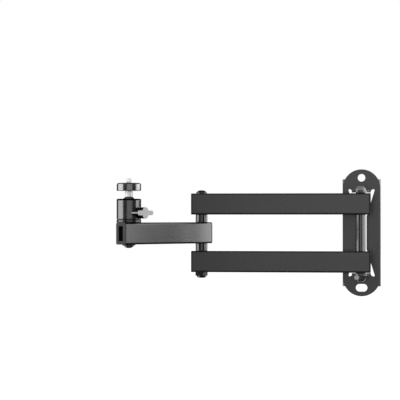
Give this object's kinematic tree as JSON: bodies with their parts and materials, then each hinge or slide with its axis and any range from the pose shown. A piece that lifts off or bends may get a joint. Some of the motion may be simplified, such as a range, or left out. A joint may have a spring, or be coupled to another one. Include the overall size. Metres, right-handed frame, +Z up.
{
  "type": "projector wall mount",
  "caption": "Double-arm swivel wall mount with a folding elbow, a forearm and a small ball head with a threaded stud for a projector or camera.",
  "frame": {"origin": "on the wall, at the middle of the wall plate", "axes": "+Z up, +Y into the wall, -Y into the room; the arms reach toward -X at rest"},
  "size_m": [0.2939, 0.1498, 0.15],
  "materials": {
    "black_paint": "fine satin powder coat",
    "forearm_paint": "fine satin powder coat",
    "black_bolt": "black zinc plate, satin",
    "dark_spacer": "dark turned steel, satin",
    "black_plastic": "moulded, fine matt",
    "dark_anodised": "turned and anodised, satin",
    "platform_metal": "turned and anodised, bright satin",
    "knob_metal": "satin face, black sides",
    "chrome": "polished",
    "plain_steel": "plain",
    "acetal": "natural acetal",
    "pad_rubber": "matt"
  },
  "bodies": {
    "wall_bracket": {"wall_plate": "black_paint", "wall_bolt": "black_bolt", "wall_nut": "black_bolt"},
    "arms": {"upper_arm": "black_paint", "lower_arm": "black_paint", "upper_pivot_bush": "black_plastic", "lower_pivot_bush": "black_plastic", "pivot_post": "dark_spacer", "upper_arm_wall_plug": "black_plastic", "upper_arm_elbow_plug": "black_plastic", "lower_arm_wall_plug": "black_plastic", "lower_arm_elbow_plug": "black_plastic", "elbow_bolt": "black_bolt", "elbow_nut": "black_bolt", "upper_elbow_spacer": "dark_spacer", "lower_elbow_spacer": "dark_spacer"},
    "forearm_unit": {"forearm": "forearm_paint", "elbow_bush": "black_plastic", "forearm_elbow_plug": "black_plastic", "forearm_head_plug": "black_plastic", "base_screw": "black_bolt", "base_washer": "black_bolt", "head_base": "dark_anodised", "pan_clip": "plain_steel"},
    "ball_housing": {"head_housing": "dark_anodised", "ball_seat": "acetal"},
    "ball_unit": {"ball_stem": "chrome"},
    "platform_unit": {"platform": "platform_metal", "platform_pad": "pad_rubber"},
    "knob_unit": {"lock_knob": "knob_metal", "lock_screw": "plain_steel"}
  },
  "joints": [
    {"name": "wall_swivel", "type": "hinge", "parent": "wall_bracket", "child": "arms", "pos_m": [0, -0.027, 0], "axis": [0, 0, 1], "range_deg": [0, 180]},
    {"name": "elbow_swivel", "type": "hinge", "parent": "arms", "child": "forearm_unit", "pos_m": [-0.188, -0.027, 0], "axis": [0, 0, 1], "range_deg": [-217, 107]},
    {"name": "head_pan", "type": "hinge", "parent": "forearm_unit", "child": "ball_housing", "pos_m": [-0.2574, -0.12612, 0.0125], "axis": [0, 0, 1], "continuous": true},
    {"name": "ball_tilt", "type": "hinge", "parent": "ball_housing", "child": "ball_unit", "pos_m": [-0.2574, -0.12612, 0.034], "axis": [0.8988, -0.4384, 0], "range_deg": [-35, 35]},
    {"name": "platform_spin", "type": "hinge", "parent": "ball_unit", "child": "platform_unit", "pos_m": [-0.2574, -0.12612, 0.034], "axis": [0, 0, 1], "continuous": true},
    {"name": "lock_knob_turn", "type": "hinge", "parent": "ball_housing", "child": "knob_unit", "pos_m": [-0.2574, -0.12612, 0.0234], "axis": [0.8988, -0.4384, 0], "range_deg": [0, 360]}
  ]
}
